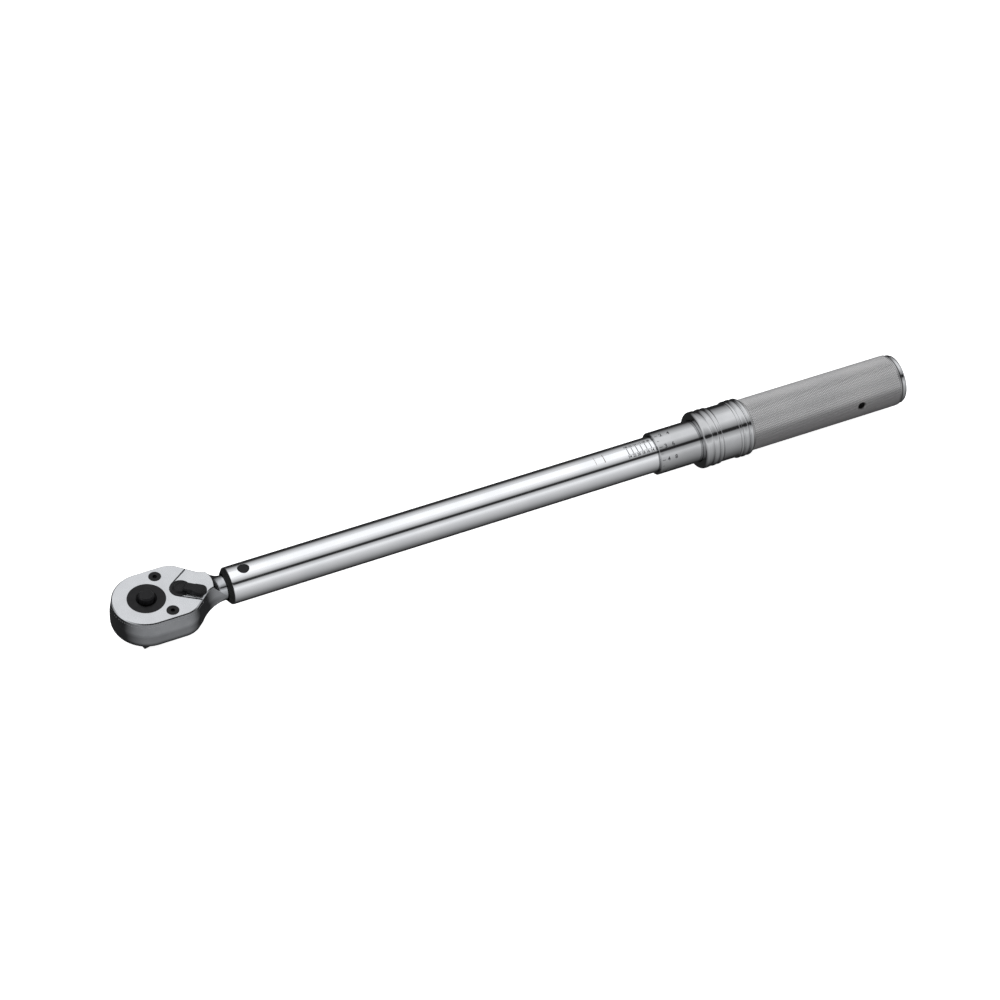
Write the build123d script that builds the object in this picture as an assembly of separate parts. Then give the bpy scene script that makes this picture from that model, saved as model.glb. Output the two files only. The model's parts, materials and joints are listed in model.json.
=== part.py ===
from build123d import *
import math
import os

# Half-inch-drive click torque wrench with a micrometer handle. All sizes in millimetres.
# Origin: where the drive axis crosses the tube's centreline. +X runs along the tube
# towards the handle, +Z along the drive axis towards the reverse lever's face.

# ---- driving dimensions ----
FACE_Z = 10.5                 # half thickness of the head
SEAT_Z = 8.0                  # underside of the cover plate
HEAD_R = 20.9                 # nose radius and half width of the head
DRAFT_DEPTH = 9.0             # height over which the wall leans in towards the top face
DRAFT_INSET = 1.2
CREASE_ROUND = 14.0
RIM_CHAMFER = 0.6
BOTTOM_ROUND = 6.5
NECK_R = 7.25
TOP_SCOOP_R = 10.0            # concave run-out from the top face to the neck
BOTTOM_SCOOP_R = 24.0
NECK_X = 46.5                 # where the run-out ends
FLOOR_Z = -6.5                # bottom of the ratchet pocket
RUN = 0.05                    # running clearance on a radius

TEETH = 36
GEAR_TIP_R = 13.6
GEAR_ROOT_R = 12.6
GEAR_TOP_R = 11.0
GEAR_FOOT_R = 10.0
DRIVE = 12.7                  # side of the square drive
DRIVE_TIP_Z = -23.4
DRIVE_ANGLE = 12.0            # how the square stands at rest

LEVER_X = 20.3                # axis of the reverse lever and pawl
LEVER_REST = -36.0            # direction of the lever's tail at rest
BOSS_R = 5.85
VEE_R = 6.1                   # round inner end of the cover plate's V-shaped cut
VEE_ANGLE = 34.6              # half angle of that cut
VEE_GAP = 0.35                # groove between the cover plate and the raised wedge
WEDGE_ANGLE = 33.7            # half angle of the wedge, so the groove widens outwards
VEE_EDGE = 0.25               # chamfer along both sides of the groove
STEM_R = 3.5
PAWL_SWING = 3.2              # half of the pawl's swing, degrees
PAWL_TOP_Z = 4.0
ROOF_Z = 4.9

SCREW_X = 10.4
SCREW_Y = 13.86

BUTTON_R = 4.5
BUTTON_TOP_Z = 14.1
BUTTON_TRAVEL = 3.0
BALL_R = 2.4                  # ball that holds a socket on the square
BALL_Z = -17.2
BALL_OUT = 4.95               # its centre from the drive axis
BALL_SLOPE = 1.1 / BUTTON_TRAVEL

TUBE_R = 11.0
TUBE_BORE = 9.4
TUBE_X0 = 49.1
TUBE_X1 = 430.0
PIVOT_X = 58.5
PIVOT_R = 3.5

TANG_END = 105.0
BLOCK_LENGTH = 6.8
BLOCK_HALF = 3.0
BLOCK_ROUND = 0.6
BLOCK_X = 104.1               # front face of the click block
PLUNGER_X0 = 110.0
PLUNGER_X1 = 140.0
SPRING_WIRE = 1.9
SPRING_R = 7.2
SEAT_X = 300.0
THRUST_R = 4.0
THRUST_X = 311.0
CONE_REACH = (THRUST_R + 0.03) * math.sqrt(2)
SCREW_NOSE_X = 312.6
LEAD = 3.0                    # advance of the handle in one turn
LOAD_R = 5.5
NUT_X0 = 404.0
NUT_X1 = 428.0

THIMBLE_R = 12.95
SLIDE_BORE = TUBE_R + 0.08
THIMBLE_X = 321.2
SLEEVE_X = 352.5              # where the thimble meets the grip sleeve
CARRIER_X = 355.1             # where the sleeve steps up under the lock ring
CARRIER_R = 14.3
CLIP_X = 356.0                # snap ring that holds the lock ring back
SPIGOT_X = 357.0              # end of the thimble inside the sleeve
GRIP_R = 15.95
GRIP_X = 382.5
PLUG_X = 449.0
PLUG_R = 12.9
GRIP_END = 486.3
END_X = 490.2
END_R = 15.2
HANDLE_SCREW_X = 457.6
HANDLE_SCREW_ANGLE = 171.0    # about the tube, from +Y towards +Z

RING_X0 = 349.5
RING_X1 = 382.2
RING_LIP = 2.3                # thickness of the lock ring's front lip
RING_VALLEY_R = 16.95
RING_WAIST_R = 16.85
FRONT_BEADS = ((355.7, 359.3, 17.6), (359.7, 361.9, 17.45))
REAR_BEADS = ((373.3, 375.5, 17.65), (375.9, 379.5, 17.75), (379.9, RING_X1, 17.6))
RING_SHOULDER_X = 367.5       # where the lock ring's spring chamber begins
LOCK_BALL_X = 360.8
LOCK_BALL_R = 1.75
LOCK_BALL_OUT = TUBE_R + 0.03 + LOCK_BALL_R
LOCK_SLOPE = 0.2              # outward travel of a ball for each millimetre of ring travel


# ---- helpers ----
def rod_x(radius, x0, x1):
    return Pos((x0 + x1) / 2, 0, 0) * Rot(0, 90, 0) * Cylinder(radius, x1 - x0)


def rod_z(radius, z0, z1, x=0.0, y=0.0):
    return Pos(x, y, (z0 + z1) / 2) * Cylinder(radius, z1 - z0)


def turned_x(points):
    """Solid of revolution about the tube's centreline from (x, radius) points."""
    outline = Polyline(*[(x, 0, r) for x, r in points], close=True)
    return revolve(make_face(outline), axis=Axis.X)


def turned_z(points):
    """Solid of revolution about the drive axis from (radius, z) points."""
    outline = Polyline(*[(r, 0, z) for r, z in points], close=True)
    return revolve(make_face(outline), axis=Axis.Z)


def slab(sketch, z0, z1):
    return Pos(0, 0, z0) * extrude(sketch, amount=z1 - z0)


def toothed(root, tip):
    """Flat outline of a symmetric-toothed wheel with one tip on +X."""
    step = 360 / TEETH
    points = []
    for n in range(TEETH):
        for turn, radius in ((-0.12, tip), (0.12, tip), (0.5, root)):
            angle = math.radians((n + turn) * step)
            points.append((radius * math.cos(angle), radius * math.sin(angle)))
    return make_face(Polyline(*points, close=True))


def hex_prism(across_flats, depth):
    return extrude(RegularPolygon(across_flats / 2, 6, major_radius=False), amount=depth)


def coil(radius, wire, length, turns):
    """Round-wire spring standing on the origin along +Z, its ends just inside the length."""
    height = length - 2 * wire
    path = Helix(pitch=height / turns, height=height, radius=radius)
    section = Plane(origin=path @ 0, z_dir=path % 0) * Circle(wire)
    return Pos(0, 0, wire) * sweep(section, path=path)


def along_x(shape, x):
    """Stands a +Z shape on the tube's centreline, starting at x."""
    return Pos(x, 0, 0) * Rot(0, 90, 0) * shape


def around(shape, angle):
    """Turns a shape lying along +Y about the tube's centreline."""
    return Rot(angle, 0, 0) * shape


# ---- ratchet head ----
def pear_outline():
    shoulder = (21.7, HEAD_R)
    throat = (36.55, NECK_R)
    corners = [(0, HEAD_R), shoulder, throat, (NECK_X + 0.5, NECK_R)]
    mirrored = [(x, -y) for x, y in reversed(corners)]
    body = make_face(Polyline(*corners, *mirrored, close=True))
    for (x, y), radius in ((shoulder, 13.3), (throat, 12.7)):
        picked = [v for v in body.vertices() if abs(v.X - x) < 0.1 and abs(abs(v.Y) - y) < 0.1]
        body = fillet(picked, radius)
    return body + Circle(HEAD_R)


def vee_region(radius, degrees):
    """Wedge behind the lever boss, open towards the handle, with arms tangent to the boss."""
    half_angle = math.radians(degrees)
    x = LEVER_X - radius * math.sin(half_angle)
    y = radius * math.cos(half_angle)
    reach = 45.0
    far_x = x + reach * math.cos(half_angle)
    far_y = y + reach * math.sin(half_angle)
    wedge = make_face(Polyline((x, y), (far_x, far_y), (far_x, -far_y), (x, -y), close=True))
    return wedge + Pos(LEVER_X, 0) * Circle(radius)


def neck_envelope(scoop_r):
    """Surface of revolution that rounds the head down to its neck."""
    arc = []
    for degrees in (72, 36, 0):
        angle = math.radians(degrees)
        x = NECK_X - scoop_r * math.sin(angle)
        arc.append((x, 0, NECK_R + scoop_r * (1 - math.cos(angle))))
    scoop = ThreePointArc(*arc)
    rest = Polyline(arc[2], (NECK_X + 0.5, 0, NECK_R), (NECK_X + 0.5, 0, 0), (-30, 0, 0),
                    (-30, 0, 40), (arc[0][0], 0, 40), arc[0])
    return revolve(make_face([scoop, rest]), axis=Axis.X)


def ratchet_pocket():
    """Gear bore with the undercut for the pawl behind it."""
    gear_bore = rod_z(GEAR_TIP_R + 0.4, FLOOR_Z, SEAT_Z + 5)
    sweep_angle = math.radians(40.5)
    outer = 17.9
    reach = 30.0
    wedge = make_face(Polyline((0, 0), (reach, reach * math.tan(sweep_angle)),
                               (reach, -reach * math.tan(sweep_angle)), close=True))
    plan = (wedge & Circle(outer)) + Pos(LEVER_X, 0) * Circle(6.0)
    plan = plan + Pos(LEVER_X - 3, 0) * Rectangle(6, 12)
    return gear_bore + slab(plan, FLOOR_Z, ROOF_Z)


def chamfer_top(blank, inset, depth):
    """Cuts the rim of the top face back by the inset, to a depth down the wall."""
    top = blank.faces().sort_by(Axis.Z)[-1]
    rim = top.edges().filter_by_position(Axis.X, -30, NECK_X)
    return chamfer(rim, inset, depth, reference=top)


def break_groove_edges(body):
    """Chamfers the straight edges beside the V-shaped groove."""
    top = body.edges().filter_by_position(Axis.Z, FACE_Z - 0.01, FACE_Z + 0.01)
    straight = top.filter_by(GeomType.LINE).filter_by_position(Axis.X, 18, NECK_X)
    slanted = [edge for edge in straight if abs(edge.tangent_at(0).Y) < 0.62]
    return chamfer(slanted, VEE_EDGE)


def head_blank():
    """The whole head before machining: a rounded slab run down to the neck."""
    blank = slab(pear_outline(), -FACE_Z, FACE_Z)
    bottom = blank.faces().sort_by(Axis.Z)[0]
    blank = fillet(bottom.edges().filter_by_position(Axis.X, -30, NECK_X), BOTTOM_ROUND)
    blank = chamfer_top(blank, DRAFT_INSET, DRAFT_DEPTH)
    crease_z = FACE_Z - DRAFT_DEPTH
    crease = blank.edges().filter_by_position(Axis.Z, crease_z - 0.01, crease_z + 0.01)
    blank = fillet(crease.filter_by_position(Axis.X, -30, NECK_X), CREASE_ROUND)
    blank = chamfer_top(blank, RIM_CHAMFER, RIM_CHAMFER)
    upper = blank & neck_envelope(TOP_SCOOP_R) & Pos(0, 0, 25) * Box(120, 60, 50)
    lower = blank & neck_envelope(BOTTOM_SCOOP_R) & Pos(0, 0, -25) * Box(120, 60, 50)
    return upper + lower


def head_body():
    # The seat for the cover plate leaves a raised wedge standing behind the lever.
    wedge = vee_region(VEE_R - VEE_GAP, WEDGE_ANGLE)
    seat = slab(Rectangle(120, 60) - wedge, SEAT_Z, FACE_Z + 1)
    body = break_groove_edges(head_blank() - seat)
    body = body - ratchet_pocket()
    body = body - rod_z(GEAR_FOOT_R + RUN, -FACE_Z - 1, FLOOR_Z + 1)
    body = body - rod_z(BOSS_R + 0.25, 7.1, FACE_Z + 1, LEVER_X)
    body = body - rod_z(STEM_R + RUN, FLOOR_Z - 2.0, FACE_Z, LEVER_X)
    for side in (-1, 1):
        body = body - rod_z(2.0, -3.0, SEAT_Z + 1, SCREW_X, side * SCREW_Y)
    # Neck, pivot barrel and tang inside the tube.
    body = body + rod_x(NECK_R, NECK_X - 1, 56.0) + rod_x(TUBE_BORE - 0.2, 54.0, 63.0)
    tang = rod_x(7.7, 60.0, TANG_END) & (Pos(80, 0, 0) * Box(60, 20, 11))
    body = body + tang
    body = body - rod_z(PIVOT_R + RUN, -12, 12, PIVOT_X)
    pocket_half = BLOCK_HALF + 0.4
    body = body - Pos(TANG_END, 0, 0) * Box(2, 2 * pocket_half, 2 * pocket_half)
    return body


def screw_cone(play):
    """Countersunk head and shank, pointing down from the head's face."""
    return turned_z([(0, FACE_Z + play), (3.6 + play, FACE_Z + play), (3.6 + play, FACE_Z - 0.2),
                     (2.0 + play, 8.7), (2.0 + play, -2.9), (0, -2.9)])


def cover_plate():
    cut = vee_region(VEE_R, VEE_ANGLE)
    plate = head_blank() & slab(Rectangle(120, 60) - cut, SEAT_Z, FACE_Z + 1)
    plate = break_groove_edges(plate.solids().sort_by(SortBy.VOLUME)[-1])
    plate = plate - rod_z(GEAR_TOP_R + RUN, 0, 20)
    for side in (-1, 1):
        plate = plate - Pos(SCREW_X, side * SCREW_Y, 0) * screw_cone(0.03)
    return plate


def cover_screws():
    screw = screw_cone(0) - Pos(0, 0, FACE_Z - 1.6) * hex_prism(2.5, 3)
    return Compound([Pos(SCREW_X, side * SCREW_Y, 0) * screw for side in (-1, 1)])


def drag_washer():
    return rod_z(13.3, 7.2, 7.9) - rod_z(11.3, 7.0, 8.1)


def drive_gear():
    gear = slab(toothed(GEAR_ROOT_R, GEAR_TIP_R), FLOOR_Z + 0.1, 7.1)
    gear = gear + rod_z(GEAR_TOP_R, 7.0, FACE_Z) + rod_z(GEAR_FOOT_R, -10.4, FLOOR_Z + 0.2)
    square = slab(Rectangle(DRIVE, DRIVE), DRIVE_TIP_Z, -10.3)
    tip = square.faces().sort_by(Axis.Z)[0]
    square = chamfer(tip.edges(), 1.1)
    uprights = square.edges().filter_by(Axis.Z)
    square = fillet(uprights, 0.5)
    gear = gear + Rot(0, 0, DRIVE_ANGLE) * square
    # Button recess, spring chamber and stem bore.
    gear = gear - turned_z([(0, 12), (6.6, 12), (6.0, FACE_Z), (6.0, FACE_Z - 0.7),
                            (BUTTON_R + 0.1, FACE_Z - 1.6), (BUTTON_R + 0.1, -1.0), (0, -1.0)])
    gear = gear - rod_z(2.5 + RUN, DRIVE_TIP_Z + 1.3, 0)
    # Ball hole with a narrowed mouth that keeps the ball in.
    flat = DRIVE / 2
    hole = Rot(0, -90, 0) * turned_z([(0, 0), (BALL_R + RUN, 0), (BALL_R + RUN, flat - 0.35),
                                      (2.06, flat + 0.01), (2.06, flat + 1), (0, flat + 1)])
    gear = gear - Rot(0, 0, DRIVE_ANGLE) * Pos(0, 0, BALL_Z) * hole
    return gear


def detent_ball():
    return Rot(0, 0, DRIVE_ANGLE) * Pos(-BALL_OUT, 0, BALL_Z) * Sphere(BALL_R)


def quick_release_button():
    """Stepped pin; its long cone lets the ball move in as the button goes down."""
    waist_z = BALL_Z + BUTTON_TRAVEL
    clear = BALL_R * math.hypot(1, BALL_SLOPE) + RUN
    waist_r = BALL_OUT - BALL_SLOPE * BUTTON_TRAVEL - clear
    cone_start = waist_z - (2.5 - waist_r) / BALL_SLOPE
    points = [(0, BUTTON_TOP_Z), (BUTTON_R - 0.9, BUTTON_TOP_Z), (BUTTON_R, BUTTON_TOP_Z - 0.9),
              (BUTTON_R, 5.0), (2.5, 5.0), (2.5, waist_z + 0.9 + 2.5 - waist_r),
              (waist_r, waist_z + 0.9), (waist_r, waist_z), (2.5, cone_start),
              (2.5, BALL_Z - 1.6), (0, BALL_Z - 1.6)]
    return turned_z(points)


def button_spring():
    return Pos(0, 0, -0.95) * coil(3.6, 0.35, 5.9, 4)


def pawl():
    """Two-armed pawl on the lever's stem, posed with its +Y arm at the gear."""
    half = math.radians(36)
    reach = 30.0
    wedge = make_face(Polyline((0, 0), (reach, reach * math.tan(half)),
                               (reach, -reach * math.tan(half)), close=True))
    plan = (wedge & (Circle(17.0) - Circle(13.0))) + Pos(LEVER_X, 0) * Circle(5.5)
    plan = plan + Pos(17.5, 0) * Rectangle(5.6, 10.4)
    blank = slab(plan, FLOOR_Z + 0.1, PAWL_TOP_Z)
    gear_space = slab(toothed(GEAR_TIP_R + 0.15, GEAR_TIP_R + 1.1), FLOOR_Z - 1, PAWL_TOP_Z + 1)
    axis = Axis((LEVER_X, 0, 0), (0, 0, 1))
    body = blank.rotate(axis, PAWL_SWING) - gear_space
    body = body.rotate(axis, -2 * PAWL_SWING) - gear_space
    body = body.rotate(axis, 2 * PAWL_SWING)
    body = body.solids().sort_by(SortBy.VOLUME)[-1]
    body = body - rod_z(STEM_R + RUN, -10, 10, LEVER_X)
    # Arc groove in the bore for the lever's spring ball.
    groove = rod_z(4.65, -2.35, 0.35, LEVER_X) & (Pos(LEVER_X - 3.9, 0, 0) * Box(6, 12, 12))
    return body - groove


def lever_outline():
    tail = 15.6 - 3.7
    pad = Pos(tail - 1.3, 0) * SlotCenterToCenter(3.0, 6.6)
    waist = Pos(6.0, 0) * Rectangle(8, 6.0)
    return pad + waist


def reverse_lever():
    """Built with its tail on +X, then turned to its rest direction."""
    boss = turned_z([(0, 7.2), (BOSS_R, 7.2), (BOSS_R, 10.2), (BOSS_R - 0.3, FACE_Z),
                     (4.6, FACE_Z), (3.4, 11.6), (1.6, 12.1), (0, 12.2)])
    stem = rod_z(STEM_R, FLOOR_Z - 1.9, 7.4) - (rod_z(4, 4.1, 4.8) - rod_z(2.9, 4.0, 4.9))
    arm = slab(lever_outline(), FACE_Z + 0.25, 13.4)
    top = arm.faces().sort_by(Axis.Z)[-1]
    arm = fillet(top.edges(), 0.9)
    dish = Pos(10.6, 0, 13.4 + 9.2) * Sphere(10.0)
    neck = rod_z(3.6, FACE_Z - 1, 11.2)
    lever = boss + stem + (arm - dish) + neck
    bore = Pos(0, 0, -1) * Rot(0, -90, 0) * rod_z(1.25, -2.4, 5)
    return lever - bore


def at_lever(shape):
    return Pos(LEVER_X, 0, 0) * Rot(0, 0, LEVER_REST) * shape


def lever_clip():
    ring = rod_z(5.2, 4.2, 4.75) - rod_z(3.0, 4.0, 5.0)
    return ring - Pos(4, 0, 4.5) * Box(6, 4.4, 2)


def lever_detent_ball():
    return Pos(-3.25, 0, -1) * Sphere(1.2)


def lever_detent_spring():
    return Pos(2.3, 0, -1) * Rot(0, -90, 0) * coil(0.85, 0.18, 4.3, 5)


# ---- tube and click mechanism ----
def dust_boot():
    return turned_x([(46.8, 7.9), (46.8, 8.4), (48.7, 10.8), (TUBE_X0 - 0.1, 10.8),
                     (TUBE_X0 - 0.1, 9.35), (53.6, 9.35), (53.6, 8.3), (47.9, 8.3), (47.5, 7.9)])


def tube():
    body = turned_x([(TUBE_X0, TUBE_BORE), (TUBE_X0, TUBE_R - 0.25), (TUBE_X0 + 0.25, TUBE_R),
                     (TUBE_X1 - 0.5, TUBE_R), (TUBE_X1, TUBE_R - 0.5), (TUBE_X1, TUBE_BORE)])
    body = body - rod_z(PIVOT_R, -15, 15, PIVOT_X)
    for side in (-1, 1):
        body = body - Pos(416, side * 10, 0) * Rot(90, 0, 0) * Cylinder(2.0, 6)
    return body


def pivot_pin():
    pin = rod_z(PIVOT_R, -10.4, 10.4, PIVOT_X)
    return chamfer(pin.edges().filter_by(GeomType.CIRCLE), 0.35)


def click_block():
    """Tilts about the round of its rear +Y edge."""
    block = Pos(BLOCK_X + BLOCK_LENGTH / 2, 0, 0) * Box(BLOCK_LENGTH, 2 * BLOCK_HALF, 2 * BLOCK_HALF)
    return fillet(block.edges().filter_by(Axis.Z), BLOCK_ROUND)


GUIDE_RINGS = ((116.0, 119.0), (131.0, 134.0))


def plunger():
    body = turned_x([(PLUNGER_X0, 0), (PLUNGER_X0, 8.6), (PLUNGER_X0 + 0.7, 9.3),
                     (PLUNGER_X1, 9.3), (PLUNGER_X1, 4.7), (151, 4.7), (152, 3.7), (152, 0)])
    for x0, x1 in GUIDE_RINGS:
        body = body - (rod_x(10, x0, x1) - rod_x(8.3, x0 - 1, x1 + 1))
    pocket_half = BLOCK_HALF + 0.4
    return body - Pos(PLUNGER_X0, 0, 0) * Box(2, 2 * pocket_half, 2 * pocket_half)


def plunger_guides():
    return Compound([rod_x(9.35, x0, x1) - rod_x(8.3, x0 - 1, x1 + 1) for x0, x1 in GUIDE_RINGS])


def main_spring():
    return along_x(coil(SPRING_R, SPRING_WIRE, SEAT_X - PLUNGER_X1 - 0.1, 19), PLUNGER_X1 + 0.05)


def spring_seat():
    """Its cone for the thrust ball stands at 45 degrees."""
    return turned_x([(288, 0), (288, 3.7), (289, 4.7), (SEAT_X, 4.7), (SEAT_X, 9.3),
                     (309, 9.3), (309, CONE_REACH - 2), (THRUST_X - CONE_REACH, 0)])


def thrust_ball():
    return Pos(THRUST_X, 0, 0) * Sphere(THRUST_R)


def load_screw():
    """Adjusting screw; the thread is drawn as rings of the same pitch."""
    mouth = THRUST_X + CONE_REACH - SCREW_NOSE_X
    points = [(THRUST_X + CONE_REACH, 0), (SCREW_NOSE_X, mouth), (SCREW_NOSE_X, 7.5),
              (SCREW_NOSE_X + 1, 8.5), (321, 8.5), (321, 4.6)]
    x = 324.0
    while x < PLUG_X - LEAD:
        points += [(x, 4.6), (x + 0.7, LOAD_R), (x + 1.7, LOAD_R), (x + 2.4, 4.6)]
        x += LEAD
    points += [(PLUG_X, 4.6), (PLUG_X, 4.9), (483, 4.9), (483, 0)]
    return turned_x(points)


def load_nut():
    nut = turned_x([(NUT_X0, LOAD_R + RUN), (NUT_X0, 8.9), (NUT_X0 + 0.5, TUBE_BORE),
                    (NUT_X1 - 0.5, TUBE_BORE), (NUT_X1, 8.9), (NUT_X1, LOAD_R + RUN)])
    for side in (-1, 1):
        nut = nut - Pos(416, side * 9.5, 0) * Rot(90, 0, 0) * Cylinder(2.0, 5)
    return nut


def nut_set_screws():
    screws = []
    for side in (-1, 1):
        screw = Rot(90 * side, 0, 0) * (rod_z(2.0, -10.6, -7.0) - Pos(0, 0, -10.7) * hex_prism(2, 2))
        screws.append(Pos(416, 0, 0) * screw)
    return Compound(screws)


# ---- handle ----
def graduated_thimble():
    return turned_x([(THIMBLE_X, SLIDE_BORE + 0.35), (THIMBLE_X, THIMBLE_R - 0.35),
                     (THIMBLE_X + 0.35, THIMBLE_R),
                     (SLEEVE_X, THIMBLE_R), (SLEEVE_X, 12.2), (SPIGOT_X, 12.2),
                     (SPIGOT_X, SLIDE_BORE),
                     (THIMBLE_X + 0.4, SLIDE_BORE)])


def handle_screw_axis(shape):
    """Places a shape lying along +Z from the tube axis on the handle screw's line."""
    return around(Pos(HANDLE_SCREW_X, 0, 0) * Rot(-90, 0, 0) * shape, HANDLE_SCREW_ANGLE)


def grip_sleeve():
    sleeve = turned_x([(SLEEVE_X, 12.2), (SLEEVE_X, THIMBLE_R), (CARRIER_X, THIMBLE_R),
                       (CARRIER_X, CARRIER_R), (CLIP_X - 0.1, CARRIER_R), (CLIP_X - 0.1, 13.8),
                       (CLIP_X + 1, 13.8), (CLIP_X + 1, CARRIER_R), (GRIP_X, CARRIER_R),
                       (GRIP_X, GRIP_R - 0.4), (GRIP_X + 0.4, GRIP_R),
                       (GRIP_END - 0.6, GRIP_R), (GRIP_END, GRIP_R - 0.6), (GRIP_END, PLUG_R),
                       (PLUG_X, PLUG_R), (PLUG_X, SLIDE_BORE), (SPIGOT_X, SLIDE_BORE), (SPIGOT_X, 12.2)])
    for n in range(3):
        hole = Pos(LOCK_BALL_X, 0, 0) * Rot(-90, 0, 0) * rod_z(LOCK_BALL_R + RUN, 8, 20)
        sleeve = sleeve - around(hole, 30 + 120 * n)
    mouth = turned_z([(0, GRIP_R - 0.8), (2.25, GRIP_R - 0.8), (3.05, GRIP_R), (3.05, 18), (0, 18)])
    return sleeve - handle_screw_axis(rod_z(2.25, 9, 20) + mouth)


def end_plug():
    plug = turned_x([(PLUG_X, 4.95), (PLUG_X, PLUG_R - 0.6), (PLUG_X + 0.6, PLUG_R),
                     (GRIP_END, PLUG_R), (GRIP_END, 10.5), (474, 10.5), (474, 4.95)])
    return plug - handle_screw_axis(rod_z(2.2, 6, 20))


def handle_set_screw():
    screw = rod_z(2.2, 6.3, 13.2) - Pos(0, 0, 11.2) * hex_prism(2.4, 3)
    return handle_screw_axis(screw)


def screw_lock_nut():
    nut = Pos(475.1, 0, 0) * Rot(0, 90, 0) * hex_prism(16, 7)
    return nut - rod_x(4.95, 470, 490)


def lock_washer():
    return rod_x(9.0, 474.05, 475.0) - rod_x(5.1, 473, 476)


def end_cap():
    """Cap with a flange that stands off the grip and leaves a groove."""
    return turned_x([(483.4, 0), (483.4, 10.4), (GRIP_END + 0.1, 10.4), (GRIP_END + 0.1, END_R - 1.4),
                     (GRIP_END + 0.8, END_R - 1.4), (GRIP_END + 0.8, END_R - 0.3),
                     (GRIP_END + 1.1, END_R), (END_X - 1.4, END_R), (END_X - 0.45, END_R - 0.5),
                     (END_X, END_R - 1.6), (END_X, 9.0), (END_X - 0.6, 8.4), (END_X - 0.6, 0)])


# ---- lock ring ----
def ring_arc(*points):
    return ThreePointArc(*[(x, 0, r) for x, r in points])


def ring_line(*points):
    return Polyline(*[(x, 0, r) for x, r in points])


def bead_row(beads):
    """Rounded beads with narrow valleys between them."""
    pieces = []
    for n, (x0, x1, crest) in enumerate(beads):
        pieces.append(ring_arc((x0, RING_VALLEY_R), ((x0 + x1) / 2, crest), (x1, RING_VALLEY_R)))
        if n + 1 < len(beads):
            pieces.append(ring_line((x1, RING_VALLEY_R), (beads[n + 1][0], RING_VALLEY_R)))
    return pieces


def lock_ring():
    reach = LOCK_BALL_OUT + LOCK_BALL_R * math.hypot(1, LOCK_SLOPE) + RUN
    chamber = 15.65
    cone_x = LOCK_BALL_X - (chamber - reach) / LOCK_SLOPE
    lip_x = RING_X0 + RING_LIP
    front_end = FRONT_BEADS[-1][1]
    rear_start = REAR_BEADS[0][0]
    outline = [ring_line((RING_X0, 13.25), (RING_X0, 16.0)),
               ring_arc((RING_X0, 16.0), (RING_X0 + 0.8, 17.1), (RING_X0 + 2.7, 17.55)),
               ring_arc((RING_X0 + 2.7, 17.55), (RING_X0 + 4.7, 17.4), (RING_X0 + 5.9, RING_VALLEY_R)),
               ring_line((RING_X0 + 5.9, RING_VALLEY_R), (FRONT_BEADS[0][0], RING_VALLEY_R))]
    outline += bead_row(FRONT_BEADS)
    outline.append(ring_line((front_end, RING_VALLEY_R), (front_end + 0.5, RING_WAIST_R),
                             (rear_start - 0.7, RING_WAIST_R), (rear_start, RING_VALLEY_R)))
    outline += bead_row(REAR_BEADS)
    outline.append(ring_line((RING_X1, RING_VALLEY_R), (RING_X1, GRIP_R + 0.25),
                             (RING_X1 - 3.7, GRIP_R + 0.25), (RING_X1 - 3.7, 15.9),
                             (RING_SHOULDER_X, 15.9), (RING_SHOULDER_X, reach),
                             (LOCK_BALL_X, reach), (cone_x, chamber), (lip_x, chamber),
                             (lip_x, 13.25), (RING_X0, 13.25)))
    return revolve(make_face(outline), axis=Axis.X)


def lock_snap_ring():
    """Open wire ring in the sleeve's groove that stops the lock ring going forward."""
    ring = rod_x(15.3, CLIP_X, CLIP_X + 0.9) - rod_x(13.85, CLIP_X - 1, CLIP_X + 2)
    return ring - Pos(CLIP_X, 0, -15) * Box(3, 5, 6)


def lock_ring_spring():
    return along_x(coil(15.1, 0.5, GRIP_X - RING_SHOULDER_X - 0.7, 3.5), RING_SHOULDER_X + 0.3)


def lock_ball(n):
    ball = Pos(LOCK_BALL_X, LOCK_BALL_OUT, 0) * Sphere(LOCK_BALL_R)
    return around(ball, 30 + 120 * n)


NODES = {
    "head_body": head_body(),
    "cover_plate": cover_plate(),
    "cover_screws": cover_screws(),
    "drag_washer": drag_washer(),
    "drive_gear": drive_gear(),
    "quick_release_button": quick_release_button(),
    "button_spring": button_spring(),
    "detent_ball": detent_ball(),
    "pawl": pawl(),
    "reverse_lever": at_lever(reverse_lever()),
    "lever_clip": at_lever(lever_clip()),
    "lever_detent_ball": at_lever(lever_detent_ball()),
    "lever_detent_spring": at_lever(lever_detent_spring()),
    "dust_boot": dust_boot(),
    "tube": tube(),
    "pivot_pin": pivot_pin(),
    "click_block": click_block(),
    "plunger": plunger(),
    "plunger_guides": plunger_guides(),
    "main_spring": main_spring(),
    "spring_seat": spring_seat(),
    "thrust_ball": thrust_ball(),
    "load_screw": load_screw(),
    "load_nut": load_nut(),
    "nut_set_screws": nut_set_screws(),
    "graduated_thimble": graduated_thimble(),
    "grip_sleeve": grip_sleeve(),
    "end_plug": end_plug(),
    "handle_set_screw": handle_set_screw(),
    "screw_lock_nut": screw_lock_nut(),
    "lock_washer": lock_washer(),
    "end_cap": end_cap(),
    "lock_ring": lock_ring(),
    "lock_snap_ring": lock_snap_ring(),
    "lock_ring_spring": lock_ring_spring(),
    "lock_ball_1": lock_ball(0),
    "lock_ball_2": lock_ball(1),
    "lock_ball_3": lock_ball(2),
}

os.makedirs("parts", exist_ok=True)
for node, shape in NODES.items():
    export_step(shape, f"parts/{node}.step")
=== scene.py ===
import json
import math

import bmesh
import bpy
from mathutils import Matrix, Vector


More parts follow.
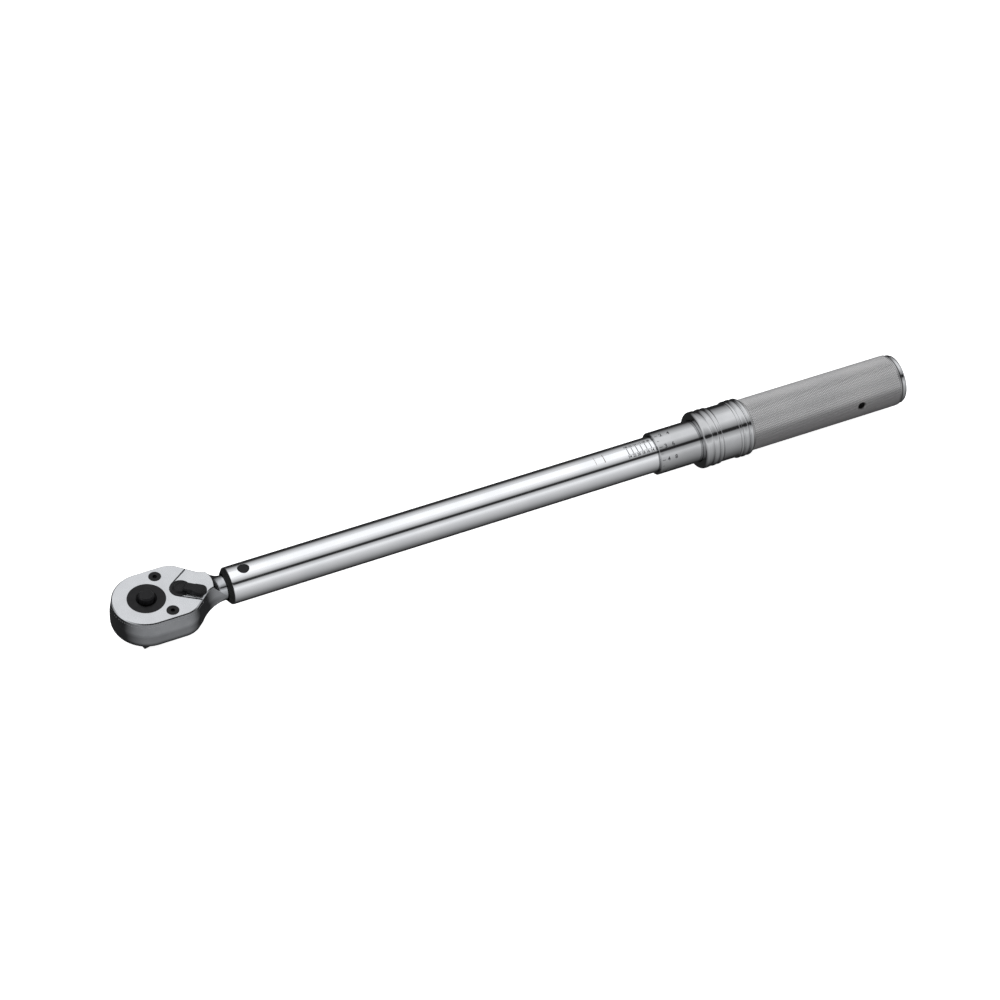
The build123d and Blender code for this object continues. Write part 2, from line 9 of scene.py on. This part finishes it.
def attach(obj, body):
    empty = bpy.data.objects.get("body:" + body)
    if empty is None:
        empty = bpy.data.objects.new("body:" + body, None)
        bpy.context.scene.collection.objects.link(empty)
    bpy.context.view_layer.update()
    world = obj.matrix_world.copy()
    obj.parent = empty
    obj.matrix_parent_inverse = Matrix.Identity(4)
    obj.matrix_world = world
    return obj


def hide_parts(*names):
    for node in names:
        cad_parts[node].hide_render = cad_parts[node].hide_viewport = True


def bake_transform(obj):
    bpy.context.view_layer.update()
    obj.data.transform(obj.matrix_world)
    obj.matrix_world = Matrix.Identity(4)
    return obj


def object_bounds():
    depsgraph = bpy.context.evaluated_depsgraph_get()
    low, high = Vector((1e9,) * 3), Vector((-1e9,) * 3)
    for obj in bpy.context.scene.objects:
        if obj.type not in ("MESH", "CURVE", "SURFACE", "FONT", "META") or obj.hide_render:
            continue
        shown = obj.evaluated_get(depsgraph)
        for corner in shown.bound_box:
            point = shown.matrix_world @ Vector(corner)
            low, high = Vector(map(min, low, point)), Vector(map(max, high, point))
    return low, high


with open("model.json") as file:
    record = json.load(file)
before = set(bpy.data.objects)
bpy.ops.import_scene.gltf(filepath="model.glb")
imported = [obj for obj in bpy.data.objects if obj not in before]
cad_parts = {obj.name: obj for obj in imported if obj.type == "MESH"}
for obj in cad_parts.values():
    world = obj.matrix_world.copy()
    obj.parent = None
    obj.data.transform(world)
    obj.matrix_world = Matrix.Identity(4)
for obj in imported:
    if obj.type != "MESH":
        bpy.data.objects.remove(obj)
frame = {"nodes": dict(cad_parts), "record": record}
cad_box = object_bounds()

MM = 0.001
SCENE = bpy.context.scene

# ---- places on the tool, in millimetres along the tube ----
TUBE_R = 11.0
THIMBLE_R = 12.95
THIMBLE_X = 321.2
LEAD = 3.0
FIRST_TICK_X = 303.3
LAST_TICK_X = 336.4
SCALE_TOP = 89.0              # degrees round the tube, from +Y towards +Z
SCALE_BOTTOM = 112.0
MARK_DEPTH = 0.03

GRIP_X0 = 382.5
GRIP_X1 = 486.3
GRIP_R = 15.95
SLEEVE_X = 352.5              # front of the grip sleeve, against the thimble
SPIGOT_X = 357.0              # depth of its seat for the thimble
SPIGOT_R = 12.2
CARRIER_X = 355.1             # where it steps up under the lock ring
CARRIER_R = 14.3
BORE_R = 11.1                 # its bore over the tube
PLUG_X = 449.0                # where the bore widens for the end plug
PLUG_R = 12.9
KNURL_COUNT = 84              # diamonds round the grip
KNURL_ROWS = 104              # half diamonds along it
KNURL_DEPTH = 0.2
KNURL_TOP = 0.45              # flat top, as a share of the diamond
KNURL_MARGIN = 0.9            # plain rim at each end of the grip
HOLE_X = 457.6
HOLE_ANGLE = 171.0
HOLE_R = 2.25
HOLE_MOUTH = 0.8              # countersink at the grip's surface


# ---- shader helpers ----
class Shader:
    """A material's node tree with short calls for the nodes used here."""

    def __init__(self, name):
        self.material = bpy.data.materials.new(name)
        self.material.use_nodes = True
        self.nodes = self.material.node_tree.nodes
        self.links = self.material.node_tree.links
        self.bsdf = self.nodes["Principled BSDF"]
        self.place = self.add("ShaderNodeTexCoord").outputs["Object"]

    def add(self, kind, **settings):
        node = self.nodes.new(kind)
        for key, value in settings.items():
            setattr(node, key, value)
        return node

    def feed(self, socket, value):
        if hasattr(value, "links"):
            self.links.new(value, socket)
        else:
            socket.default_value = value

    def stretched(self, scale):
        node = self.add("ShaderNodeMapping")
        self.links.new(self.place, node.inputs["Vector"])
        node.inputs["Scale"].default_value = scale
        return node.outputs["Vector"]

    def noise(self, per_mm, detail=3.0, stretch=(1.0, 1.0, 1.0)):
        node = self.add("ShaderNodeTexNoise")
        scale = tuple(per_mm / MM * s for s in stretch)
        self.links.new(self.stretched(scale), node.inputs["Vector"])
        node.inputs["Scale"].default_value = 1.0
        node.inputs["Detail"].default_value = detail
        return node.outputs["Fac"]

    def spread(self, source, low, high, start=0.3, end=0.7):
        node = self.add("ShaderNodeMapRange")
        self.feed(node.inputs["Value"], source)
        node.inputs["From Min"].default_value = start
        node.inputs["From Max"].default_value = end
        node.inputs["To Min"].default_value = low
        node.inputs["To Max"].default_value = high
        return node.outputs["Result"]

    def blend(self, factor, first, second):
        node = self.add("ShaderNodeMix", data_type="RGBA")
        self.feed(node.inputs["Factor"], factor)
        self.feed(node.inputs["A"], first if hasattr(first, "links") else (*first, 1.0))
        self.feed(node.inputs["B"], second if hasattr(second, "links") else (*second, 1.0))
        return node.outputs["Result"]

    def maths(self, operation, first, second=0.5):
        node = self.add("ShaderNodeMath", operation=operation)
        self.feed(node.inputs[0], first)
        self.feed(node.inputs[1], second)
        return node.outputs["Value"]

    def rounded_normal(self, radius_mm):
        node = self.add("ShaderNodeBevel", samples=4)
        node.inputs["Radius"].default_value = radius_mm * MM
        return node.outputs["Normal"]

    def bump(self, height, strength, distance_mm, normal=None):
        node = self.add("ShaderNodeBump")
        self.links.new(height, node.inputs["Height"])
        node.inputs["Strength"].default_value = strength
        node.inputs["Distance"].default_value = distance_mm * MM
        if normal is not None:
            self.links.new(normal, node.inputs["Normal"])
        return node.outputs["Normal"]

    def edge_wear(self, normal):
        """About 1 on edges and 0 on flat faces: worn edges on the black oxide, a painted edge highlight
        on the satin chrome.
        """
        geometry = self.add("ShaderNodeNewGeometry")
        node = self.add("ShaderNodeVectorMath", operation="DOT_PRODUCT")
        self.links.new(normal, node.inputs[0])
        self.links.new(geometry.outputs["Normal"], node.inputs[1])
        return self.spread(node.outputs["Value"], 1.0, 0.0, 0.82, 0.98)

    def facing_up(self):
        """1 on flat faces that look along the drive axis, 0 on everything else."""
        split = self.add("ShaderNodeSeparateXYZ")
        coordinates = self.add("ShaderNodeTexCoord")
        self.links.new(coordinates.outputs["Normal"], split.inputs["Vector"])
        return self.spread(split.outputs["Z"], 0.0, 1.0, 0.985, 0.998)

    def finish(self, colour, roughness, normal, metallic):
        self.feed(self.bsdf.inputs["Base Color"], colour)
        self.feed(self.bsdf.inputs["Roughness"], roughness)
        self.links.new(normal, self.bsdf.inputs["Normal"])
        self.bsdf.inputs["Metallic"].default_value = metallic
        return self.material


def polished_chrome():
    s = Shader("polished_chrome")
    turning = s.noise(0.9, 4.0, (1.0, 0.06, 0.06))
    smudge = s.noise(0.05, 3.0)
    bright = s.blend(s.spread(smudge, 0.0, 1.0), (0.80, 0.81, 0.825), (0.86, 0.865, 0.875))
    handle_painted_shade = s.blend(s.spread(smudge, 0.0, 1.0), (0.48, 0.485, 0.49), (0.56, 0.565, 0.57))
    # Painted shade: from the thimble back the chrome is painted darker than the tube's, for the darker
    # reflections along the handle.
    split = s.add("ShaderNodeSeparateXYZ")
    s.links.new(s.place, split.inputs["Vector"])
    on_handle = s.spread(split.outputs["X"], 0.0, 1.0, (THIMBLE_X - 0.6) * MM, (THIMBLE_X - 0.1) * MM)
    colour = s.blend(on_handle, bright, handle_painted_shade)
    roughness = s.maths("ADD", s.spread(turning, 0.035, 0.085), s.spread(smudge, 0.0, 0.03))
    normal = s.bump(turning, 0.05, 0.02, s.rounded_normal(0.08))
    return s.finish(colour, roughness, normal, 1.0)


def satin_chrome(name, dark, light, rough, grain):
    """Satin on faces square to the drive axis, smoother and brighter on the walls round them."""
    s = Shader(name)
    fine = s.noise(grain, 4.0)
    cloud = s.noise(0.12, 3.0)
    face = s.facing_up()
    satin = s.blend(s.spread(cloud, 0.0, 1.0), dark, light)
    wall = s.blend(s.spread(cloud, 0.0, 1.0), (0.45, 0.46, 0.475), (0.53, 0.54, 0.555))
    colour = s.blend(face, wall, satin)
    wall_rough = s.spread(cloud, 0.12, 0.17)
    satin_rough = s.maths("ADD", s.spread(fine, rough - 0.05, rough + 0.05), s.spread(cloud, -0.03, 0.03))
    share = s.maths("MULTIPLY", s.maths("SUBTRACT", satin_rough, wall_rough), face)
    roughness = s.maths("ADD", wall_rough, share)
    soft_edge = s.rounded_normal(0.2)
    rubbed_and_highlit_edge = s.edge_wear(soft_edge)
    # Painted highlight: the satin chrome's edges are lightened towards 0.92, a bright line along every
    # rim.
    colour = s.blend(s.maths("MULTIPLY", rubbed_and_highlit_edge, 0.5), colour, (0.92, 0.925, 0.93))
    normal = s.bump(fine, 0.08, 0.02, soft_edge)
    return s.finish(colour, roughness, normal, 1.0)


def knurled_chrome():
    s = Shader("knurled_chrome")
    split = s.add("ShaderNodeSeparateXYZ")
    s.links.new(s.place, split.inputs["Vector"])
    y2 = s.maths("POWER", split.outputs["Y"], 2.0)
    z2 = s.maths("POWER", split.outputs["Z"], 2.0)
    radius = s.maths("SQRT", s.maths("ADD", y2, z2))
    height = s.spread(radius, 0.0, 1.0, (GRIP_R - KNURL_DEPTH) * MM, GRIP_R * MM)
    groove_blotches = s.noise(0.04, 4.0)
    fine = s.noise(6.0, 2.0)
    # Darker down in the knurl's grooves, in large blotches along the grip.
    groove = s.blend(s.spread(groove_blotches, 0.0, 1.0), (0.30, 0.30, 0.305), (0.40, 0.395, 0.39))
    knurl_tone = s.blend(height, groove, (0.66, 0.655, 0.65))
    # Painted shade: the grip is painted darker from half its radius above the axis downwards, darkest on
    # the underside.
    underside_painted_shade = s.spread(split.outputs["Z"], 1.0, 0.0, 0.05 * GRIP_R * MM, 0.5 * GRIP_R * MM)
    colour = s.blend(underside_painted_shade, knurl_tone, (0.24, 0.235, 0.235))
    roughness = s.spread(fine, 0.32, 0.46)
    normal = s.bump(fine, 0.1, 0.02, s.rounded_normal(0.08))
    return s.finish(colour, roughness, normal, 1.0)


def black_oxide(name, rough, worn_amount):
    s = Shader(name)
    fine = s.noise(3.0, 4.0)
    cloud = s.noise(0.3, 3.0)
    soft_edge = s.rounded_normal(0.2)
    rubbed_and_highlit_edge = s.maths("MULTIPLY", s.edge_wear(soft_edge), s.spread(cloud, 0.0, worn_amount, 0.35, 0.65))
    base = s.blend(s.spread(cloud, 0.0, 1.0), (0.006, 0.006, 0.007), (0.012, 0.012, 0.013))
    colour = s.blend(rubbed_and_highlit_edge, base, (0.10, 0.10, 0.105))
    roughness = s.spread(fine, rough - 0.06, rough + 0.06)
    normal = s.bump(fine, 0.15, 0.02, soft_edge)
    s.bsdf.inputs["Specular IOR Level"].default_value = 0.2
    return s.finish(colour, roughness, normal, 0.0)


def black_rubber():
    s = Shader("black_rubber")
    fine = s.noise(5.0, 4.0)
    cloud = s.noise(0.25, 3.0)
    colour = s.blend(s.spread(cloud, 0.0, 1.0), (0.008, 0.008, 0.008), (0.015, 0.015, 0.014))
    s.bsdf.inputs["Specular IOR Level"].default_value = 0.2
    normal = s.bump(fine, 0.3, 0.03, s.rounded_normal(0.2))
    return s.finish(colour, s.spread(cloud, 0.5, 0.65), normal, 0.0)


def plain_metal(name, dark, light, rough):
    """Machined or drawn steel and brass, for the pieces inside."""
    s = Shader(name)
    turning = s.noise(1.5, 3.0, (1.0, 0.2, 0.2))
    colour = s.blend(s.spread(turning, 0.0, 1.0), dark, light)
    normal = s.bump(turning, 0.08, 0.02, s.rounded_normal(0.15))
    return s.finish(colour, s.spread(turning, rough - 0.06, rough + 0.08), normal, 1.0)


def white_nylon():
    s = Shader("white_nylon")
    cloud = s.noise(0.5, 3.0)
    colour = s.blend(s.spread(cloud, 0.0, 1.0), (0.70, 0.69, 0.63), (0.80, 0.79, 0.74))
    return s.finish(colour, s.spread(cloud, 0.42, 0.55), s.rounded_normal(0.15), 0.0)


def ink(name, dark, light):
    """Paint in the engraved marks, a little uneven."""
    s = Shader(name)
    patch = s.noise(2.0, 3.0)
    colour = s.blend(s.spread(patch, 0.0, 1.0), dark, light)
    return s.finish(colour, s.spread(patch, 0.45, 0.6), s.rounded_normal(0.02), 0.0)


CHROME = polished_chrome()
HEAD_SATIN = satin_chrome("satin_head", (0.60, 0.61, 0.625), (0.66, 0.67, 0.68), 0.25, 2.5)
PLATE_SATIN = satin_chrome("satin_plate", (0.61, 0.62, 0.635), (0.67, 0.68, 0.695), 0.25, 3.0)
KNURL = knurled_chrome()
OXIDE = black_oxide("black_oxide", 0.34, 0.8)
LEVER_BLACK = black_oxide("black_lever", 0.28, 0.6)
RUBBER = black_rubber()
STEEL = plain_metal("machined_steel", (0.50, 0.50, 0.51), (0.64, 0.64, 0.65), 0.26)
WIRE = plain_metal("spring_steel", (0.34, 0.34, 0.35), (0.46, 0.46, 0.47), 0.34)
BRONZE = plain_metal("bronze", (0.48, 0.33, 0.16), (0.62, 0.44, 0.24), 0.32)
NYLON = white_nylon()
INK = ink("scale_ink", (0.035, 0.035, 0.038), (0.075, 0.075, 0.08))
BROWN_INK = ink("worn_ink", (0.20, 0.15, 0.12), (0.30, 0.25, 0.21))

SLOT_MATERIALS = {
    "chrome": CHROME,
    "satin_head": HEAD_SATIN,
    "satin_plate": PLATE_SATIN,
    "knurled_grip": KNURL,
    "black_oxide": OXIDE,
    "black_lever": LEVER_BLACK,
    "black_rubber": RUBBER,
    "steel": STEEL,
    "spring_steel": WIRE,
    "bronze": BRONZE,
    "nylon": NYLON,
}


def dress_cad_nodes():
    for part in frame["record"]["subparts"]:
        node = frame["nodes"][part["node"]]
        if not node.material_slots:
            node.data.materials.append(None)
        for slot in node.material_slots:
            slot.material = SLOT_MATERIALS[part["material_slot"]]


# ---- mesh helpers ----
def new_object(name, mesh, material):
    piece = bpy.data.objects.new(name, mesh)
    SCENE.collection.objects.link(piece)
    mesh.materials.clear()
    mesh.materials.append(material)
    return piece


def on_cylinder(x, degrees, radius):
    """Point in metres at a place along the tube, an angle round it and a radius."""
    angle = math.radians(degrees)
    return Vector((x, radius * math.cos(angle), radius * math.sin(angle))) * MM


def baked(piece):
    """The piece's mesh with its modifiers applied."""
    graph = bpy.context.evaluated_depsgraph_get()
    mesh = bpy.data.meshes.new_from_object(piece.evaluated_get(graph))
    old = piece.data
    piece.modifiers.clear()
    piece.data = mesh
    if isinstance(old, bpy.types.Mesh):
        bpy.data.meshes.remove(old)
    return piece


# ---- engraved scales ----
def flat_rectangle(bm, x0, x1, y0, y1):
    corners = [bm.verts.new((x, y, 0)) for x, y in ((x0, y0), (x1, y0), (x1, y1), (x0, y1))]
    bm.faces.new(corners)


def flat_text(bm, text, x, y, height, width_share=1.0):
    """Adds numerals centred on a flat place; lengths in millimetres."""
    curve = bpy.data.curves.new("numeral", "FONT")
    curve.body = text
    curve.size = height / 0.7
    curve.align_x = "CENTER"
    curve.align_y = "CENTER"
    curve.offset = 0.035 * height
    writer = bpy.data.objects.new("numeral", curve)
    SCENE.collection.objects.link(writer)
    graph = bpy.context.evaluated_depsgraph_get()
    mesh = bpy.data.meshes.new_from_object(writer.evaluated_get(graph))
    mesh.transform(Matrix.Diagonal((width_share, 1, 1, 1)))
    mesh.transform(Matrix.Translation((x, y, 0)))
    bm.from_mesh(mesh)
    bpy.data.meshes.remove(mesh)
    bpy.data.objects.remove(writer)
    bpy.data.curves.remove(curve)


def wrap_marks(name, bm, radius, material, body):
    """Cuts flat marks into narrow bands, rolls them onto the cylinder and gives them depth.

    Flat x runs along the tube. Flat y is the distance round it, falling as the angle grows."""
    low = min(v.co.y for v in bm.verts)
    high = max(v.co.y for v in bm.verts)
    step = 0.5
    level = math.floor(low / step) * step
    while level < high:
        geometry = bm.verts[:] + bm.edges[:] + bm.faces[:]
        bmesh.ops.bisect_plane(bm, geom=geometry, plane_co=(0, level, 0), plane_no=(0, 1, 0))
        level += step
    for vertex in bm.verts:
        vertex.co = on_cylinder(vertex.co.x, -math.degrees(vertex.co.y / radius), radius + 0.02)
    mesh = bpy.data.meshes.new(name)
    bm.to_mesh(mesh)
    bm.free()
    piece = new_object(name, mesh, material)
    outward = sum(f.normal.dot(Vector((0, f.center.y, f.center.z))) for f in mesh.polygons)
    depth = piece.modifiers.new("depth", "SOLIDIFY")
    depth.thickness = MARK_DEPTH * MM
    depth.offset = -1.0 if outward > 0 else 1.0
    baked(piece)
    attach(piece, body)


def round_place(degrees, radius):
    """Distance round a cylinder for an angle, as the flat drawing has it."""
    return -math.radians(degrees) * radius


def tube_scale():
    bm = bmesh.new()
    top = round_place(SCALE_TOP, TUBE_R)
    bottom = round_place(SCALE_BOTTOM, TUBE_R)
    count = int((LAST_TICK_X - FIRST_TICK_X) / LEAD) + 1
    for n in range(count):
        x = FIRST_TICK_X + n * LEAD
        flat_rectangle(bm, x - 0.2, x + 0.2, bottom, top)
        flat_text(bm, str(2 * (count - n)), x, bottom - 1.35, 1.7, 0.9)
        flat_text(bm, str(12 * (count - n) + 4), x, top + 1.35, 1.55, 0.8)
    flat_rectangle(bm, FIRST_TICK_X - 0.16, LAST_TICK_X, bottom - 0.05, bottom + 0.05)
    wrap_marks("tube_scale", bm, TUBE_R, INK, "tube_body")


def tube_end_marks():
    """Two longer reference lines ahead of the scale."""
    for name, x, width in (("scale_end_line", 287.4, 0.42), ("scale_start_line", 281.6, 0.2)):
        bm = bmesh.new()
        flat_rectangle(bm, x - width / 2, x + width / 2, round_place(113, TUBE_R),
                       round_place(82, TUBE_R))
        wrap_marks(name, bm, TUBE_R, BROWN_INK, "tube_body")


def thimble_scale():
    """Ten divisions round the thimble's front, each with a number of either scale."""
    bm = bmesh.new()
    for n in range(10):
        y = round_place(13 + 36 * n, THIMBLE_R)
        flat_rectangle(bm, THIMBLE_X + 0.8, THIMBLE_X + 3.0, y - 0.18, y + 0.18)
        flat_text(bm, str(n), THIMBLE_X + 5.2, y, 2.4)
        flat_text(bm, str((2 * n) % 10), THIMBLE_X + 10.2, y, 2.4)
        half = round_place(31 + 36 * n, THIMBLE_R)
        flat_rectangle(bm, THIMBLE_X + 0.8, THIMBLE_X + 2.2, half - 0.12, half + 0.12)
    wrap_marks("thimble_scale", bm, THIMBLE_R, INK, "handle")


# ---- knurled grip ----
def knurl_skin(bm):
    """Diamonds with flat tops between crossing grooves. Returns the two end rings."""
    x_step = (GRIP_X1 - GRIP_X0 - 2 * KNURL_MARGIN) / KNURL_ROWS
    a_step = 180.0 / KNURL_COUNT
    columns = 2 * KNURL_COUNT

    def vertex(i, j, radius):
        return bm.verts.new(on_cylinder(GRIP_X0 + KNURL_MARGIN + j * x_step, i * a_step, radius))

    valleys = {}
    for j in range(KNURL_ROWS + 1):
        for i in range(columns):
            if (i + j) % 2:
                valleys[i, j] = vertex(i, j, GRIP_R - KNURL_DEPTH)
    around = ((1, 0), (0, 1), (-1, 0), (0, -1))
    for j in range(1, KNURL_ROWS):
        for i in range(columns):
            if (i + j) % 2:
                continue
            tops = [vertex(i + KNURL_TOP * u, j + KNURL_TOP * v, GRIP_R) for u, v in around]
            feet = [valleys[(i + u) % columns, j + v] for u, v in around]
            bm.faces.new(reversed(tops))
            for n in range(4):
                m = (n + 1) % 4
                bm.faces.new((tops[n], tops[m], feet[m], feet[n]))
    rings = []
    for j, near in ((0, 1), (KNURL_ROWS, KNURL_ROWS - 1)):
        ring = []
        for i in range(columns):
            if (i + j) % 2:
                following = (i + 2) % columns
                triangle = (valleys[i, j], valleys[following, j], valleys[(i + 1) % columns, near])
                bm.faces.new(triangle if j else reversed(triangle))
                ring.append((i, valleys[i, j]))
        rings.append(ring)
    return rings


def ring_of(bm, columns, x, radius):
    a_step = 180.0 / KNURL_COUNT
    return [bm.verts.new(on_cylinder(x, i * a_step, radius)) for i in columns]


def join_rings(bm, first, second):
    count = len(first)
    for n in range(count):
        m = (n + 1) % count
        bm.faces.new((first[n], first[m], second[m], second[n]))


def knurled_grip():
    """Grip with its knurl cut in, and the plain tube under the lock ring."""
    bm = bmesh.new()
    front, rear = knurl_skin(bm)
    columns = [i for i, _ in front]
    # From the knurl's front edge forward over the carrier, back through the bore, to its rear edge.
    profile = [(GRIP_X0 + 0.6, GRIP_R - 0.1), (GRIP_X0 + 0.25, GRIP_R - 0.1), (GRIP_X0, GRIP_R - 0.4),
               (GRIP_X0, CARRIER_R), (CARRIER_X, CARRIER_R), (CARRIER_X, THIMBLE_R),
               (SLEEVE_X, THIMBLE_R), (SLEEVE_X, SPIGOT_R), (SPIGOT_X, SPIGOT_R), (SPIGOT_X, BORE_R),
               (PLUG_X, BORE_R), (PLUG_X, PLUG_R), (GRIP_X1, PLUG_R), (GRIP_X1, GRIP_R - 0.6),
               (GRIP_X1 - 0.35, GRIP_R - 0.1),
               (GRIP_X1 - 0.6, GRIP_R - 0.1)]
    previous = [v for _, v in front]
    for x, radius in profile:
        ring = ring_of(bm, columns, x, radius)
        join_rings(bm, previous, ring)
        previous = ring
    join_rings(bm, previous, [v for _, v in rear])
    bmesh.ops.recalc_face_normals(bm, faces=bm.faces[:])
    mesh = bpy.data.meshes.new("knurled_grip")
    bm.to_mesh(mesh)
    bm.free()
    grip = new_object("knurled_grip", mesh, KNURL)
    cutter = screw_hole_cutter()
    cut = grip.modifiers.new("screw_hole", "BOOLEAN")
    cut.object = cutter
    cut.operation = "DIFFERENCE"
    cut.solver = "EXACT"
    baked(grip)
    bpy.data.objects.remove(cutter)
    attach(grip, "handle")
    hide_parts("grip_sleeve")


def screw_hole_cutter():
    """Round hole with a countersunk mouth at the grip's surface."""
    bm = bmesh.new()
    rings = []
    middle = 14.5
    surface = GRIP_R - middle
    outer = HOLE_R + HOLE_MOUTH
    for radius, height in ((HOLE_R, -5), (HOLE_R, surface - HOLE_MOUTH), (outer, surface), (outer, 5)):
        ring = bmesh.ops.create_circle(bm, segments=48, radius=radius * MM,
                                       matrix=Matrix.Translation((0, 0, height * MM)))
        rings.append(ring["verts"])
    for lower, upper in zip(rings, rings[1:]):
        join_rings(bm, lower, upper)
    bm.faces.new(reversed(rings[0]))
    bm.faces.new(rings[-1])
    bmesh.ops.recalc_face_normals(bm, faces=bm.faces[:])
    mesh = bpy.data.meshes.new("hole")
    bm.to_mesh(mesh)
    bm.free()
    cutter = new_object("hole", mesh, KNURL)
    out = on_cylinder(0, HOLE_ANGLE, 1).normalized()
    centre = on_cylinder(HOLE_X, HOLE_ANGLE, middle)
    cutter.matrix_world = Matrix.Translation(centre) @ out.to_track_quat("Z", "Y").to_matrix().to_4x4()
    bpy.context.view_layer.update()
    return cutter


# ---- springs, copied in spring steel ----
# Node, the bodies that hold and push it, and where its held and pushed ends are.
SPRINGS = (
    ("main_spring", "tube_body", "carriage", (140.05, 0, 0), (299.95, 0, 0)),
    ("button_spring", "drive", "button", (0, 0, -0.95), (0, 0, 4.95)),
    ("lock_ring_spring", "handle", "lock_ring", (382.1, 0, 0), (367.8, 0, 0)),
)


def moving_springs():
    for node, held, pushed, start, end in SPRINGS:
        source = frame["nodes"][node]
        wire = new_object("moving_" + node, source.data.copy(), WIRE)
        wire.matrix_world = source.matrix_world.copy()
        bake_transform(wire)
        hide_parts(node)


# ---- studio ----
SKY_STRENGTH = 1.35
# Soft studio light, given as degrees round the tube's line from +Y over the top to -Y, and
# brightness. A large soft box stands behind the zenith and a lower one in front, with a black
# flag between them, over a dim room.
LIGHT_STOPS = (
    (-180, 0.7), (-120, 0.2), (-90, 0.03), (0, 0.03), (60, 1.2), (90, 1.2),
    (120, 0.4), (125, 0.03), (135, 0.03), (140, 0.5), (160, 1.0), (180, 0.7),
)


def studio_world():
    world = bpy.data.worlds.new("studio")
    SCENE.world = world
    world.use_nodes = True
    nodes = world.node_tree.nodes
    links = world.node_tree.links
    direction = nodes.new("ShaderNodeTexCoord").outputs["Generated"]
    split = nodes.new("ShaderNodeSeparateXYZ")
    links.new(direction, split.inputs["Vector"])
    angle = nodes.new("ShaderNodeMath")
    angle.operation = "ARCTAN2"
    links.new(split.outputs["Z"], angle.inputs[0])
    links.new(split.outputs["Y"], angle.inputs[1])
    share = nodes.new("ShaderNodeMapRange")
    links.new(angle.outputs["Value"], share.inputs["Value"])
    share.inputs["From Min"].default_value = -math.pi
    share.inputs["From Max"].default_value = math.pi
    ramp = nodes.new("ShaderNodeValToRGB")
    links.new(share.outputs["Result"], ramp.inputs["Fac"])
    elements = ramp.color_ramp.elements
    while len(elements) > 1:
        elements.remove(elements[-1])
    for n, (degrees, brightness) in enumerate(LIGHT_STOPS):
        level = brightness / SKY_STRENGTH
        position = (degrees + 180) / 360
        element = elements[0] if n == 0 else elements.new(position)
        element.position = position
        element.color = (0.985 * level, 0.992 * level, 1.01 * level, 1)
    # Towards the two ends of the tube's line the bands fade into an even grey.
    along = nodes.new("ShaderNodeMath")
    along.operation = "ABSOLUTE"
    links.new(split.outputs["X"], along.inputs[0])
    fade = nodes.new("ShaderNodeMapRange")
    fade.interpolation_type = "SMOOTHSTEP"
    links.new(along.outputs["Value"], fade.inputs["Value"])
    fade.inputs["From Min"].default_value = 0.86
    fade.inputs["From Max"].default_value = 1.0
    mixed = nodes.new("ShaderNodeMix")
    mixed.data_type = "RGBA"
    links.new(fade.outputs["Result"], mixed.inputs["Factor"])
    links.new(ramp.outputs["Color"], mixed.inputs["A"])
    mixed.inputs["B"].default_value = (0.4, 0.4, 0.41, 1)
    background = nodes["Background"]
    links.new(mixed.outputs["Result"], background.inputs["Color"])
    background.inputs["Strength"].default_value = SKY_STRENGTH


def plain_stage_material(name, colour, glow):
    material = bpy.data.materials.new(name)
    material.use_nodes = True
    bsdf = material.node_tree.nodes["Principled BSDF"]
    bsdf.inputs["Base Color"].default_value = (*colour, 1)
    bsdf.inputs["Roughness"].default_value = 0.9
    bsdf.inputs["Specular IOR Level"].default_value = 0.0
    bsdf.inputs["Emission Color"].default_value = (1, 1, 1, 1)
    bsdf.inputs["Emission Strength"].default_value = glow
    return material


def floor_and_backdrop():
    floor_z = cad_box[0].z
    bm = bmesh.new()
    bmesh.ops.create_circle(bm, cap_ends=True, segments=64, radius=4.0)
    mesh = bpy.data.meshes.new("floor")
    bm.to_mesh(mesh)
    bm.free()
    floor = new_object("floor", mesh, plain_stage_material("floor_paper", (0.85, 0.85, 0.85), 0.86))
    floor.location = (0.25, 0, floor_z)
    floor.visible_glossy = False
    bm = bmesh.new()
    bmesh.ops.create_icosphere(bm, subdivisions=5, radius=4.0)
    mesh = bpy.data.meshes.new("backdrop")
    bm.to_mesh(mesh)
    bm.free()
    backdrop = new_object("backdrop", mesh, plain_stage_material("backdrop_paper", (0, 0, 0), 1.05))
    backdrop.location = (0.25, 0, 0)
    backdrop.visible_glossy = False
    backdrop.visible_diffuse = False
    backdrop.visible_shadow = False
    backdrop.visible_transmission = False


def camera():
    data = bpy.data.cameras.new("camera")
    data.lens = 114.16
    data.sensor_width = 36.0
    data.clip_start = 0.05
    data.clip_end = 50.0
    eye = bpy.data.objects.new("camera", data)
    SCENE.collection.objects.link(eye)
    place = Vector((-0.4027, -1.1344, 1.3319))
    aim = Vector((0.2212, 0.0009, 0.0))
    turn = (aim - place).to_track_quat("-Z", "Y").to_matrix().to_4x4()
    roll = Matrix.Rotation(math.radians(4.22), 4, "Z")
    eye.matrix_world = Matrix.Translation(place) @ turn @ roll
    SCENE.camera = eye


dress_cad_nodes()
knurled_grip()
moving_springs()
tube_scale()
tube_end_marks()
thimble_scale()
studio_world()
floor_and_backdrop()
camera()
SCENE.view_settings.view_transform = "Standard"
